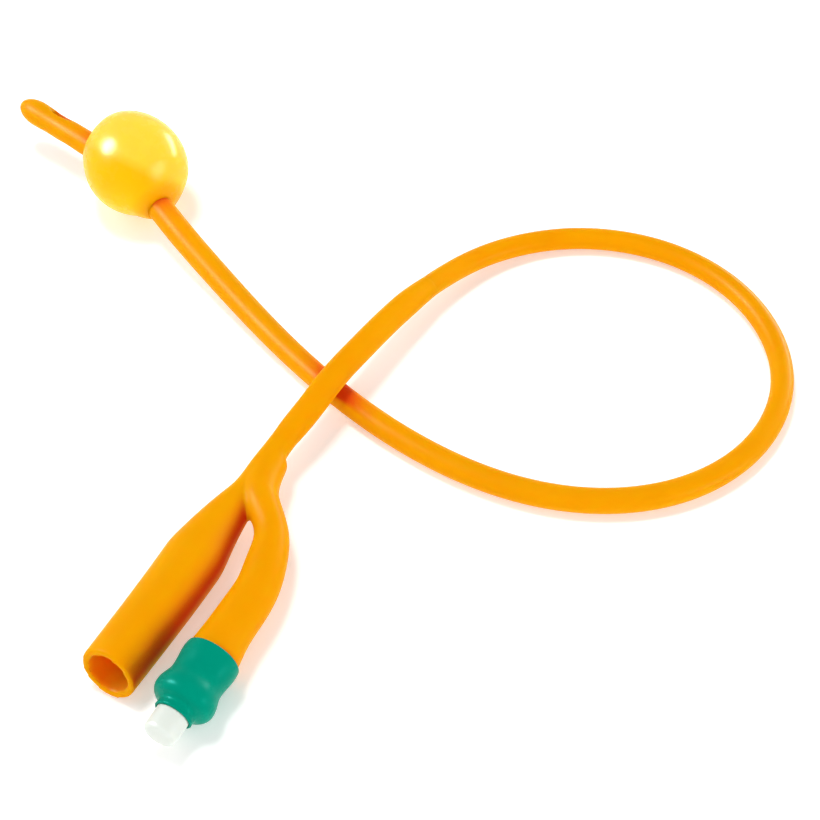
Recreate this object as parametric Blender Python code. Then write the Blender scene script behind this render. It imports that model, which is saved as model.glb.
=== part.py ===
"""Two-way balloon catheter of latex rubber, lying flat with its balloon filled.

One centreline runs from the drainage funnel's mouth, through the thick neck and the soft
shaft, to the closed tip. Every piece takes its own stretch of it, measured from the mouth.
The funnel points along -Y and the object lies on the plane z = 0. Units are metres.
"""

import math

import bmesh
import bpy
import numpy as np
from mathutils import Matrix, Vector

MM = 0.001
GAP = 0.3 * MM  # clearance between two pieces that touch
ROUND_SIDES = 36

# Drainage funnel and the neck that it is moulded on
MOUTH_DIAMETER = 10.3 * MM
SHOULDER_DIAMETER = 10.95 * MM
BARREL_LENGTH = 26.0 * MM
CONE_LENGTH = 13.5 * MM
CONE_END_DIAMETER = 6.5 * MM
STEP_LENGTH = 2.6 * MM  # the cone ends in a small shoulder on the neck
FORK_DIAMETER = 5.4 * MM
FORK_LENGTH = 6.0 * MM
WAIST_DIAMETER = 4.75 * MM
WAIST_LENGTH = 5.5 * MM  # from the fork to the waist
NECK_DIAMETER = 5.15 * MM
NECK_TAPER_LENGTH = 7.0 * MM  # from the waist to the neck's full width
PROFILE_SOFTNESS = 1.4 * MM  # how far the corners of the profile are drawn round
NECK_END_DIAMETER = 4.55 * MM
NECK_END_TAPER = 5.0 * MM
NECK_END = 101.5 * MM  # from the mouth, along the centreline
MOUTH_WALL = 1.15 * MM
SHOULDER_WALL = 1.5 * MM
LUMEN_DIAMETER = 2.8 * MM
MOUTH_CUT_ANGLE = math.radians(10.0)  # the mouth is cut a little aslant, facing up

# Inflation arm
ARM_UNDER_SLEEVE_DIAMETER = 8.0 * MM
SHANK_DIAMETER = 4.4 * MM
SHANK_LENGTH = 9.0 * MM
PASSAGE_DIAMETER = 1.5 * MM
PASSAGE_START = 8.6 * MM  # along the arm, past the bulge
BULGE_DIAMETER = 5.9 * MM
BULGE_CENTRE = (-5.9 * MM, 0.9 * MM, 6.45 * MM)

# Sleeve and plug at the end of the inflation arm
SLEEVE_DIAMETER = 10.1 * MM
SLEEVE_BULGE_DIAMETER = 11.0 * MM
SLEEVE_BAND_LENGTH = 7.9 * MM  # how far it reaches up the arm
SLEEVE_WALL = 0.6 * MM
SLEEVE_WAIST_DIAMETER = 9.5 * MM
SLEEVE_WAIST_BACK = 3.0 * MM  # behind the arm's end
SLEEVE_LIP_WALL = 0.4 * MM
SLEEVE_LIP_LENGTH = 2.2 * MM  # how far it reaches over the stub
EDGE = 0.3 * MM  # rounding of the sleeve's and the plug's small edges
COLLAR_LENGTH = 2.0 * MM
STUB_DIAMETER = 5.6 * MM
STUB_LENGTH = 6.5 * MM
STUB_EDGE_RADIUS = 0.8 * MM

# Soft shaft: 4.7 mm across as a whole, stretched a little thinner next to the neck
SHAFT_AT_NECK = 4.4 * MM
SHAFT_ON_FLOOR = 4.8 * MM
SHAFT_AT_BALLOON = 5.4 * MM
SHAFT_THIN_LENGTH = 100.0 * MM  # from the neck's end
SHAFT_FIRST_TAPER = 45.0 * MM
SHAFT_LAST_TAPER = 60.0 * MM  # ends just outside the balloon
SHAFT_POINT_SPACING = 9.6 * MM

# Closed tip
TIP_LENGTH = 25.8 * MM
TIP_HEAD_DIAMETER = 5.32 * MM
TIP_WAIST_DIAMETER = 5.0 * MM
TIP_REAR_DIAMETER = 5.2 * MM
NOSE_LENGTH = 5.0 * MM
SOLID_NOSE_LENGTH = 5.4 * MM
TIP_WAIST_FROM_NOSE = 9.5 * MM
TIP_REAR_FROM_NOSE = 16.0 * MM  # the tip keeps its rear diameter from here on
EYE_LENGTH = 4.2 * MM
EYE_WIDTH = 2.0 * MM
EYE_FROM_NOSE = 8.4 * MM
SECOND_EYE_FROM_NOSE = 13.4 * MM
EYE_LEAN = math.radians(22.0)  # how far the first eye leans from straight up

# Balloon
BALLOON_LENGTH = 22.8 * MM
BALLOON_DIAMETER = 20.8 * MM
BALLOON_WALL = 0.6 * MM
BALLOON_FROM_NOSE = 33.5 * MM
BALLOON_LIFT = 2.5 * MM  # its middle lies this far above the shaft's
BALLOON_ASIDE = 1.25 * MM  # and this far beside it, because it swells a little unevenly
CUFF_WALL = 0.6 * MM
CUFF_REACH = 2.6 * MM

# Points of the whole centreline in millimetres, from the funnel's mouth to the tip's nose.
CENTRELINE = [
    (-6.8, -47.5, 5.6),
    (-6.8, -35.5, 5.6),
    (-7.05, -23.5, 5.6),
    (-7.35, -13.5, 5.65),
    (-7.0, -4.5, 5.9),
    (-7.0, 8.2, 6.75),
    (-6.5, 14.8, 7.4),
    (-6.3, 23.5, 7.85),
    (-5.7, 31.6, 7.7),
    (-5.0, 41.1, 6.95),
    (-3.9, 50.9, 5.85),
    (-1.8, 60.7, 4.55),
    (1.6, 69.7, 3.4),
    (6.6, 77.2, 2.65),
    (13.0, 83.0, 2.37),
    (23.8, 88.2, 2.3),
    (35.9, 89.8, 2.3),
    (49.1, 86.7, 2.3),
    (59.7, 79.1, 2.3),
    (66.4, 68.5, 2.3),
    (68.3, 56.6, 2.33),
    (65.9, 45.1, 2.37),
    (59.7, 34.9, 2.41),
    (51.3, 27.6, 2.44),
    (41.6, 22.9, 2.45),
    (31.1, 20.5, 2.45),
    (19.8, 20.1, 2.43),
    (8.1, 21.4, 2.42),
    (-4.1, 24.2, 2.42),
    (-16.7, 28.3, 2.5),
    (-29.6, 33.4, 2.9),
    (-42.5, 38.8, 4.1),
    (-55.3, 44.2, 6.1),
    (-64.8, 48.7, 7.3),
    (-75.2, 52.6, 8.2),
    (-86.4, 54.75, 8.9),
    (-95.0, 56.15, 9.5),
    (-103.7, 57.6, 10.2),
]

# Points of the inflation arm in millimetres, each with the arm's diameter there.
ARM = [
    (-6.6, 4.5, 6.5, 4.4),
    (-5.9, 1.3, 6.4, 5.2),
    (-4.1, -2.9, 6.25, 4.5),
    (-1.2, -6.9, 6.05, 5.4),
    (2.15, -11.9, 5.8, 6.8),
    (4.5, -17.0, 5.6, 7.35),
    (5.55, -21.6, 5.5, 7.7),
    (5.95, -26.6, 5.5, 8.05),
    (6.25, -32.0, 5.5, 8.2),
    (6.6, -36.6, 5.5, 9.2),
    (6.89, -44.7, 5.5, 9.3),
]


class Route:
    """A smooth curve through points, read by the distance along it."""

    def __init__(self, rows, step=0.25 * MM):
        rows = np.array(rows, float) * MM
        chord = np.concatenate([[0], np.cumsum(np.linalg.norm(np.diff(rows[:, :3], axis=0), axis=1))])
        t = np.linspace(0, chord[-1], int(chord[-1] / step) + 1)
        self.values = cubic_through(chord, rows, t)
        xyz = self.values[:, :3]
        self.along = np.concatenate([[0], np.cumsum(np.linalg.norm(np.diff(xyz, axis=0), axis=1))])
        self.length = self.along[-1]

    def point(self, s):
        """The curve's point at distance s, run on straight past either end."""
        inside = min(max(s, 0), self.length)
        p = Vector([np.interp(inside, self.along, self.values[:, k]) for k in range(3)])
        return p + self.direction(s) * (s - inside)

    def direction(self, s):
        near = 0.4 * MM
        low = min(max(s - near, 0), self.length - 2 * near)
        ends = low, low + 2 * near
        a, b = ([np.interp(x, self.along, self.values[:, k]) for k in range(3)] for x in ends)
        return (Vector(b) - Vector(a)).normalized()

    def width(self, s):
        """The fourth number of the rows at distance s."""
        return float(np.interp(s, self.along, self.values[:, 3]))

    def frame(self, s):
        """A matrix at distance s, with its z axis along the curve and its y axis as near up as it goes."""
        z = self.direction(s)
        x = Vector((0, 0, 1)).cross(z).normalized()
        y = z.cross(x)
        return Matrix.Translation(self.point(s)) @ Matrix((x, y, z)).transposed().to_4x4()


def cubic_through(knots, rows, t):
    """Values at t of the natural cubic spline through rows at the given knots."""
    n, h = len(knots), np.diff(knots)
    a, b = np.eye(n), np.zeros_like(rows)
    for i in range(1, n - 1):
        a[i, i - 1 : i + 2] = h[i - 1], 2 * (h[i - 1] + h[i]), h[i]
        b[i] = 6 * ((rows[i + 1] - rows[i]) / h[i] - (rows[i] - rows[i - 1]) / h[i - 1])
    bend = np.linalg.solve(a, b)
    i = np.clip(np.searchsorted(knots, t, side="right") - 1, 0, n - 2)
    after, before, width = (knots[i + 1] - t)[:, None], (t - knots[i])[:, None], h[i][:, None]
    return (
        (bend[i] * after**3 + bend[i + 1] * before**3) / (6 * width)
        + (rows[i] / width - bend[i] * width / 6) * after
        + (rows[i + 1] / width - bend[i + 1] * width / 6) * before
    )


def eased(s, knots):
    """A size at distance s that passes through (distance, size) knots with no kinks."""
    for (s0, a), (s1, b) in zip(knots, knots[1:]):
        if s <= s1:
            share = min(max((s - s0) / (s1 - s0), 0), 1)
            return a + (b - a) * (1 - math.cos(math.pi * share)) / 2
    return knots[-1][1]


def drawn(s, knots, softness):
    """A size at distance s on straight lines through (distance, size) knots, with soft corners."""
    near = np.linspace(s - softness, s + softness, 9)
    return float(np.mean(np.interp(near, *zip(*knots))))


def material(name, colour, roughness):
    m = bpy.data.materials.new(name)
    m.use_nodes = True
    shader = m.node_tree.nodes["Principled BSDF"]
    shader.inputs["Base Color"].default_value = (*colour, 1)
    shader.inputs["Roughness"].default_value = roughness
    shader.inputs["Metallic"].default_value = 0
    return m


def add(name, data, surface=None):
    o = bpy.data.objects.new(name, data)
    bpy.context.scene.collection.objects.link(o)
    if surface:
        data.materials.append(surface)
        data.shade_smooth()
        data.set_sharp_from_angle(angle=math.radians(40))
    return o


def as_tool(o):
    """Marks an object as one that only cuts or joins, and isn't a piece."""
    o.hide_render = True
    o.display_type = "WIRE"
    return o


def pipe_curve(name, centres, radii, sides):
    """A round pipe with filled ends along the centres, as a curve."""
    curve = bpy.data.curves.new(name, "CURVE")
    curve.dimensions = "3D"
    curve.bevel_depth = max(radii)
    curve.bevel_resolution = sides // 2 - 2
    curve.use_fill_caps = True
    spline = curve.splines.new("POLY")
    spline.points.add(len(centres) - 1)
    for p, centre, radius in zip(spline.points, centres, radii):
        p.co = (*centre, 1)
        p.radius = radius / curve.bevel_depth
    return curve


def pipe(name, centres, radii, sides=ROUND_SIDES, surface=None):
    """The same pipe as a mesh object."""
    guide = bpy.data.objects.new(name + "_guide", pipe_curve(name, centres, radii, sides))
    mesh = bpy.data.meshes.new_from_object(guide)
    mesh.name = name
    bpy.data.objects.remove(guide)
    return add(name, mesh, surface)


def pipe_along(name, route, stations, radius_at, sides=ROUND_SIDES, surface=None):
    centres = [route.point(s) for s in stations]
    return pipe(name, centres, [radius_at(s) for s in stations], sides, surface)


def turned(name, profile, frame, surface=None, sides=30):
    """A solid turned from (radius, height) points, placed by a frame whose z axis is its own."""
    bm = bmesh.new()
    points = [bm.verts.new((radius, 0, height)) for radius, height in profile]
    for a, b in zip(points, points[1:]):
        bm.edges.new((a, b))
    if profile[0][0] > 0:
        bm.edges.new((points[-1], points[0]))
    bmesh.ops.spin(
        bm,
        geom=bm.verts[:] + bm.edges[:],
        axis=(0, 0, 1),
        cent=(0, 0, 0),
        angle=2 * math.pi,
        steps=sides,
        use_merge=True,
    )
    bmesh.ops.remove_doubles(bm, verts=bm.verts[:], dist=0.001 * MM)
    bmesh.ops.recalc_face_normals(bm, faces=bm.faces[:])
    mesh = bpy.data.meshes.new(name)
    bm.to_mesh(mesh)
    bm.free()
    o = add(name, mesh, surface)
    o.matrix_world = frame
    return o


def boolean(o, tool, operation):
    m = o.modifiers.new(f"{operation.lower()} {tool.name}", "BOOLEAN")
    m.operation = operation
    m.solver = "EXACT"
    m.object = as_tool(tool)


def spaced(start, end, spacing):
    return list(np.linspace(start, end, max(2, math.ceil((end - start) / spacing) + 1)))


def rounded(radius, height, edge, steps=4):
    """Profile points of a corner at (radius, height), turning from the side to the top."""
    turn = [math.pi / 2 * k / steps for k in range(steps + 1)]
    return [(radius - edge * (1 - math.cos(a)), height - edge * (1 - math.sin(a))) for a in turn]


def funnel_radius(s):
    cone_end = BARREL_LENGTH + CONE_LENGTH
    fork = cone_end + STEP_LENGTH
    waist = fork + FORK_LENGTH + WAIST_LENGTH
    return drawn(
        s,
        [
            (0, MOUTH_DIAMETER / 2),
            (BARREL_LENGTH, SHOULDER_DIAMETER / 2),
            (cone_end, CONE_END_DIAMETER / 2),
            (fork, FORK_DIAMETER / 2),
            (fork + FORK_LENGTH, FORK_DIAMETER / 2),
            (waist, WAIST_DIAMETER / 2),
            (waist + NECK_TAPER_LENGTH, NECK_DIAMETER / 2),
            (NECK_END - NECK_END_TAPER, NECK_DIAMETER / 2),
            (NECK_END, NECK_END_DIAMETER / 2),
        ],
        PROFILE_SOFTNESS,
    )


def bore_radius(s):
    return eased(
        s,
        [
            (0, MOUTH_DIAMETER / 2 - MOUTH_WALL),
            (BARREL_LENGTH - SHOULDER_WALL, SHOULDER_DIAMETER / 2 - SHOULDER_WALL),
            (BARREL_LENGTH + CONE_LENGTH - SHOULDER_WALL, LUMEN_DIAMETER / 2),
        ],
    )


def shaft_radius(s, nose):
    thin_end = NECK_END + SHAFT_THIN_LENGTH
    balloon_rear = nose - BALLOON_FROM_NOSE - BALLOON_LENGTH / 2
    return eased(
        s,
        [
            (NECK_END, SHAFT_AT_NECK / 2),
            (thin_end, SHAFT_AT_NECK / 2),
            (thin_end + SHAFT_FIRST_TAPER, SHAFT_ON_FLOOR / 2),
            (balloon_rear - SHAFT_LAST_TAPER, SHAFT_ON_FLOOR / 2),
            (balloon_rear, SHAFT_AT_BALLOON / 2),
        ],
    )


def tip_radius(s, nose):
    d = nose - s
    if d < NOSE_LENGTH:
        return TIP_HEAD_DIAMETER / 2 * math.sqrt(max(1 - (1 - d / NOSE_LENGTH) ** 2, 0.0016))
    return eased(
        d,
        [
            (NOSE_LENGTH, TIP_HEAD_DIAMETER / 2),
            (TIP_WAIST_FROM_NOSE, TIP_WAIST_DIAMETER / 2),
            (TIP_REAR_FROM_NOSE, TIP_REAR_DIAMETER / 2),
        ],
    )


def make_y_funnel(line, arm, surface):
    """Neck, junction, drainage funnel and inflation arm, moulded as one.

    The three forms are joined, made one skin and smoothed, so that they run into each other
    as moulded latex does. The flat ends and the hollows are cut after that, and stay crisp.
    """
    past_end = 2.5 * MM
    body = pipe_along(
        "y_funnel", line, spaced(-past_end, NECK_END + past_end, 1.5 * MM), funnel_radius, surface=surface
    )
    arm_pipe = pipe_along(
        "arm_form", arm, spaced(0, arm.length + past_end, 1.5 * MM), lambda s: arm.width(s) / 2
    )
    boolean(body, arm_pipe, "UNION")
    bm = bmesh.new()
    bmesh.ops.create_uvsphere(bm, u_segments=24, v_segments=16, radius=BULGE_DIAMETER / 2)
    bulge_mesh = bpy.data.meshes.new("bulge_form")
    bm.to_mesh(bulge_mesh)
    bm.free()
    bulge = add("bulge_form", bulge_mesh)
    bulge.location = BULGE_CENTRE
    boolean(body, bulge, "UNION")

    skin = body.modifiers.new("one skin", "REMESH")
    skin.mode = "VOXEL"
    skin.voxel_size = 0.4 * MM
    soft = body.modifiers.new("soft creases", "SMOOTH")
    soft.factor = 0.5
    soft.iterations = 14
    fewer = body.modifiers.new("fewer faces", "DECIMATE")
    fewer.ratio = 0.09

    # Flat ends: the mouth cut aslant, and the neck cut square to its centreline
    depth, size = 6 * MM, 20 * MM
    bm = bmesh.new()
    bmesh.ops.create_cube(bm, size=1)
    bmesh.ops.scale(bm, vec=(size, depth, size), verts=bm.verts[:])
    bmesh.ops.translate(bm, vec=(0, -depth / 2, 0), verts=bm.verts[:])
    mouth_mesh = bpy.data.meshes.new("mouth_cut")
    bm.to_mesh(mouth_mesh)
    bm.free()
    mouth_cut = add("mouth_cut", mouth_mesh)
    mouth_cut.location = line.point(0)
    mouth_cut.rotation_euler.x = -MOUTH_CUT_ANGLE
    boolean(body, mouth_cut, "DIFFERENCE")
    neck_cut = pipe_along("neck_cut", line, [NECK_END, NECK_END + 2 * past_end], lambda s: NECK_DIAMETER, 24)
    boolean(body, neck_cut, "DIFFERENCE")

    # The arm's end is cut square, and stepped in where the sleeve grips it
    inner, outer = ARM_UNDER_SLEEVE_DIAMETER / 2, SLEEVE_BULGE_DIAMETER / 2 + 1 * MM
    step = -SLEEVE_BAND_LENGTH - GAP
    far = 2 * past_end
    arm_cut_profile = [(0, 0), (inner, 0), (inner, step), (outer, step), (outer, far), (0, far)]
    arm_cut = turned("arm_cut", arm_cut_profile, arm.frame(arm.length))
    boolean(body, arm_cut, "DIFFERENCE")

    bore = pipe_along(
        "drain_bore", line, spaced(-past_end * 2, NECK_END + past_end, 3.2 * MM), bore_radius, 24
    )
    boolean(body, bore, "DIFFERENCE")
    socket_end = arm.length - SHANK_LENGTH - GAP
    passage = pipe_along(
        "inflation_passage",
        arm,
        [*spaced(PASSAGE_START, socket_end - 2 * GAP, 3 * MM), socket_end, arm.length + past_end],
        lambda s: PASSAGE_DIAMETER / 2 if s < socket_end else SHANK_DIAMETER / 2 + GAP,
        20,
    )
    boolean(body, passage, "DIFFERENCE")
    return body


def make_valve(arm, sleeve_surface, plug_surface):
    """The plug that seals the inflation arm, and the coloured sleeve that holds it there."""
    frame = arm.frame(arm.length)
    shank, stub = SHANK_DIAMETER / 2, STUB_DIAMETER / 2
    cavity = SLEEVE_BULGE_DIAMETER / 2 - SLEEVE_WALL
    collar = cavity - GAP
    back, front = GAP, GAP + COLLAR_LENGTH
    end = front + STUB_LENGTH
    plug_profile = [
        (0, -SHANK_LENGTH),
        (shank - EDGE, -SHANK_LENGTH),
        (shank, -SHANK_LENGTH + EDGE),
        (shank, back),
        (collar - EDGE, back),
        (collar, back + EDGE),
        (collar, front - EDGE),
        (collar - EDGE, front),
        (stub, front),
        *rounded(stub, end, STUB_EDGE_RADIUS),
        (0, end),
    ]
    turned("valve_plug", plug_profile, frame, plug_surface)

    band, bulge = SLEEVE_DIAMETER / 2, SLEEVE_BULGE_DIAMETER / 2
    grip = ARM_UNDER_SLEEVE_DIAMETER / 2 + GAP
    lip_bore = stub + GAP
    lip = lip_bore + SLEEVE_LIP_WALL
    top, wall_front = -SLEEVE_BAND_LENGTH, front + GAP
    crest = (back + front) / 2
    groove = wall_front + SLEEVE_LIP_LENGTH * 0.6
    sides = [(top + EDGE, band), (-SLEEVE_WAIST_BACK, SLEEVE_WAIST_DIAMETER / 2), (crest, bulge)]
    outer = [(eased(z, sides), z) for z in spaced(top + EDGE, crest, 0.9 * MM)]
    # From the crest the bulge turns in to the groove behind the lip on a quarter of an oval
    turn = [math.pi / 2 * k / 6 for k in range(1, 7)]
    depth, drop = groove - crest, bulge - lip
    outer += [(lip + drop * math.cos(a) ** 0.8, crest + depth * math.sin(a)) for a in turn[:-1]]
    lip_end = wall_front + SLEEVE_LIP_LENGTH
    sleeve_profile = [
        (grip, top),
        (band - EDGE / 2, top),
        *outer,
        (lip - 0.05 * MM, groove),
        (lip + 0.08 * MM, (groove + lip_end) / 2),
        (lip - EDGE / 4, lip_end - EDGE / 2),
        (lip_bore + SLEEVE_LIP_WALL / 2, lip_end),
        (lip_bore, lip_end - EDGE),
        (lip_bore, wall_front),
        (cavity - EDGE, wall_front),
        (cavity, wall_front - EDGE),
        (cavity, back),
        (grip, -GAP),
    ]
    turned("valve_sleeve", sleeve_profile, frame, sleeve_surface)


def make_shaft(line, surface):
    """The soft shaft, a plain pipe from the neck's end to the tip's rear face."""
    start, end = NECK_END + GAP, line.length - TIP_LENGTH - GAP
    stations = spaced(start, end, SHAFT_POINT_SPACING)
    radii = [shaft_radius(s, line.length) for s in stations]
    curve = pipe_curve("drainage_shaft", [line.point(s) for s in stations], radii, 12)
    curve.materials.append(surface)
    add("drainage_shaft", curve)


def make_tip(line, surface):
    """The closed tip: a round nose, a hollow behind it and two drainage eyes."""
    nose, rear = line.length, line.length - TIP_LENGTH
    turn = [math.pi / 2 * k / 7 for k in range(8)]
    nose_stations = [nose - NOSE_LENGTH * (1 - math.sin(a)) for a in turn]
    stations = spaced(rear, nose - NOSE_LENGTH, 2 * MM)[:-1] + nose_stations
    tip = pipe_along("catheter_tip", line, stations, lambda s: tip_radius(s, nose), 28, surface)
    lumen = pipe_along(
        "tip_lumen",
        line,
        spaced(rear - 1 * MM, nose - SOLID_NOSE_LENGTH, 4 * MM),
        lambda s: LUMEN_DIAMETER / 2,
        20,
    )
    boolean(tip, lumen, "DIFFERENCE")
    for name, from_nose, lean in (
        ("upper_eye", EYE_FROM_NOSE, EYE_LEAN),
        ("lower_eye", SECOND_EYE_FROM_NOSE, EYE_LEAN + math.pi),
    ):
        boolean(tip, make_eye_cutter(name, line.frame(nose - from_nose), lean), "DIFFERENCE")


def make_eye_cutter(name, frame, lean):
    """A slot with round ends that runs outwards from the tip's middle."""
    bm = bmesh.new()
    half, radius = EYE_LENGTH / 2 - EYE_WIDTH / 2, EYE_WIDTH / 2
    turn = [math.pi * k / 8 for k in range(9)]
    outline = [(radius * math.cos(a), half + radius * math.sin(a)) for a in turn]
    outline += [(-x, -z) for x, z in outline]
    floor = bm.faces.new([bm.verts.new((x, 0, z)) for x, z in outline])
    raised = bmesh.ops.extrude_face_region(bm, geom=[floor])
    top = [v for v in raised["geom"] if isinstance(v, bmesh.types.BMVert)]
    bmesh.ops.translate(bm, vec=(0, TIP_HEAD_DIAMETER, 0), verts=top)
    bmesh.ops.recalc_face_normals(bm, faces=bm.faces[:])
    mesh = bpy.data.meshes.new(name)
    bm.to_mesh(mesh)
    bm.free()
    o = add(name, mesh)
    o.matrix_world = frame @ Matrix.Rotation(lean, 4, "Z")
    return o


def make_balloon(line, surface):
    """The filled balloon: a thin egg-shaped shell, with a cuff on the shaft at each end."""
    middle_s = line.length - BALLOON_FROM_NOSE
    half = BALLOON_LENGTH / 2
    axis = (line.point(middle_s + half) - line.point(middle_s - half)).normalized()
    turn = Vector((0, 0, 1)).rotation_difference(axis).to_matrix().to_4x4()
    aside = axis.cross(Vector((0, 0, 1))).normalized() * BALLOON_ASIDE
    middle = line.point(middle_s) + aside + Vector((0, 0, BALLOON_LIFT))

    def egg(name, wall, surface=None):
        bm = bmesh.new()
        bmesh.ops.create_uvsphere(bm, u_segments=32, v_segments=20, radius=1)
        across = BALLOON_DIAMETER / 2 - wall
        bmesh.ops.scale(bm, vec=(across, across, half - wall), verts=bm.verts[:])
        mesh = bpy.data.meshes.new(name)
        bm.to_mesh(mesh)
        bm.free()
        o = add(name, mesh, surface)
        o.matrix_world = Matrix.Translation(middle) @ turn
        return o

    bore = SHAFT_AT_BALLOON / 2 + GAP
    stations = spaced(middle_s - half - 2 * MM, middle_s + half + 2 * MM, 2 * MM)
    balloon = egg("retention_balloon", 0, surface)
    inside = egg("balloon_inside", BALLOON_WALL)
    for name, s0, s1 in (
        ("rear_cuff", stations[0], middle_s - half + CUFF_REACH),
        ("front_cuff", middle_s + half - CUFF_REACH, stations[-1]),
    ):
        cuff = pipe_along(name, line, spaced(s0, s1, 1 * MM), lambda s: bore + CUFF_WALL, 24)
        boolean(inside, cuff, "DIFFERENCE")
    boolean(balloon, inside, "DIFFERENCE")
    boolean(balloon, pipe_along("balloon_bore", line, stations, lambda s: bore, 24), "DIFFERENCE")


def main():
    for o in list(bpy.data.objects):
        bpy.data.objects.remove(o)
    latex = material("orange_latex", (0.90, 0.34, 0.012), 0.38)
    stretched = material("stretched_latex", (0.98, 0.68, 0.03), 0.2)
    green = material("green_rubber", (0.0, 0.30, 0.19), 0.4)
    white = material("white_plastic", (0.80, 0.83, 0.78), 0.35)
    line, arm = Route(CENTRELINE), Route(ARM)
    make_y_funnel(line, arm, latex)
    make_valve(arm, green, white)
    make_shaft(line, latex)
    make_tip(line, latex)
    make_balloon(line, stretched)


main()
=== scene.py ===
# %% [markdown]
# # A balloon catheter of latex rubber
# The object is a soft orange tube. It has a closed tip with a drainage eye, a balloon filled
# with water near the tip, and a moulded Y at the other end. The Y has a wide funnel for a
# drainage bag, and an arm whose valve fills the balloon.
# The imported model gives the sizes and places. This script gives the looks, and leaves each
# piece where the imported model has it. All values are in metres.

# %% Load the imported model
import math

import bmesh
import bpy
import numpy as np
from mathutils import Matrix, Vector


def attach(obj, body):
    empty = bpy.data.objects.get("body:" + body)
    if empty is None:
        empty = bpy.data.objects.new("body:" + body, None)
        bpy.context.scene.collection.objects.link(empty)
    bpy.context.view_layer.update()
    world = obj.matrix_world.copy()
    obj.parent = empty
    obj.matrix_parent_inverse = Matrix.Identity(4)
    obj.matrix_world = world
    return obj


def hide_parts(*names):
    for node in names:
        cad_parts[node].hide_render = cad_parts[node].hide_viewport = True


MM = 0.001
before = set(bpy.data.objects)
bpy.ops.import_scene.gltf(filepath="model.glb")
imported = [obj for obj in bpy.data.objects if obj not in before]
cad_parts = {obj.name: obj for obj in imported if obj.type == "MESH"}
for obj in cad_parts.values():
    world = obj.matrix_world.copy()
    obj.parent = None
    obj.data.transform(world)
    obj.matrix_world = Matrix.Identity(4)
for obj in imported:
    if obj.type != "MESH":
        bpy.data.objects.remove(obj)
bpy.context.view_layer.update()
print("nodes:", sorted(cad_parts))

# %% [markdown]
# ## The camera
# The object is photographed from above at an angle of 50 degrees, with a long lens, so that
# near and far parts differ little in scale. Here a camera is aimed with to_track_quat, which turns
# its own -Z axis to a target. That is easier to change than three angles typed by hand.

# %% Camera
LENS = 74.63  # millimetres, as the next value is
SENSOR_WIDTH = 36
CAMERA_PLACE = Vector((0.10721, -0.15157, 0.24680))
CAMERA_TARGET = Vector((0.00689, 0.02960, 0.0))

camera_data = bpy.data.cameras.new("camera")
camera_data.lens = LENS
camera_data.sensor_width = SENSOR_WIDTH
camera = bpy.data.objects.new("camera", camera_data)
camera.location = CAMERA_PLACE
camera.rotation_euler = (CAMERA_TARGET - CAMERA_PLACE).to_track_quat("-Z", "Y").to_euler()
bpy.context.scene.collection.objects.link(camera)
bpy.context.scene.camera = camera
print("camera:", round((CAMERA_TARGET - CAMERA_PLACE).length, 3), "m from its target")

# %% [markdown]
# ## One curve for the whole object
# Everything on the object is strung on one centreline: funnel, neck, shaft, balloon and tip. A
# designer would draw it first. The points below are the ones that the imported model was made
# from, but for the last three, which lie up to 0.6 mm lower, as the photo shows the nose. A
# natural cubic spline runs through them, because it bends evenly, as a soft tube does, where
# straight runs joined by arcs would look like bent wire.

# %% Points of the centreline
CENTRELINE = [  # x, y and z
    (-0.0068, -0.0475, 0.0056),
    (-0.0068, -0.0355, 0.0056),
    (-0.00705, -0.0235, 0.0056),
    (-0.00735, -0.0135, 0.00565),
    (-0.0070, -0.0045, 0.0059),
    (-0.0070, 0.0082, 0.00675),
    (-0.0065, 0.0148, 0.0074),
    (-0.0063, 0.0235, 0.00785),
    (-0.0057, 0.0316, 0.0077),
    (-0.0050, 0.0411, 0.00695),
    (-0.0039, 0.0509, 0.00585),
    (-0.0018, 0.0607, 0.00455),
    (0.0016, 0.0697, 0.0034),
    (0.0066, 0.0772, 0.00265),
    (0.0130, 0.0830, 0.00237),
    (0.0238, 0.0882, 0.0023),
    (0.0359, 0.0898, 0.0023),
    (0.0491, 0.0867, 0.0023),
    (0.0597, 0.0791, 0.0023),
    (0.0664, 0.0685, 0.0023),
    (0.0683, 0.0566, 0.00233),
    (0.0659, 0.0451, 0.00237),
    (0.0597, 0.0349, 0.00241),
    (0.0513, 0.0276, 0.00244),
    (0.0416, 0.0229, 0.00245),
    (0.0311, 0.0205, 0.00245),
    (0.0198, 0.0201, 0.00243),
    (0.0081, 0.0214, 0.00242),
    (-0.0041, 0.0242, 0.00242),
    (-0.0167, 0.0283, 0.0025),
    (-0.0296, 0.0334, 0.0029),
    (-0.0425, 0.0388, 0.0041),
    (-0.0553, 0.0442, 0.0061),
    (-0.0648, 0.0487, 0.0073),
    (-0.0752, 0.0526, 0.0082),
    (-0.0864, 0.05475, 0.0087),
    (-0.0950, 0.05605, 0.0091),
    (-0.1035, 0.0573, 0.0096),
]
print("centreline:", len(CENTRELINE), "points")

# %% A curve that is read by the distance along it
CURVE_STEP = 0.25 * MM
DIRECTION_REACH = 0.4 * MM  # the direction at a place is taken over twice this length


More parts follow.
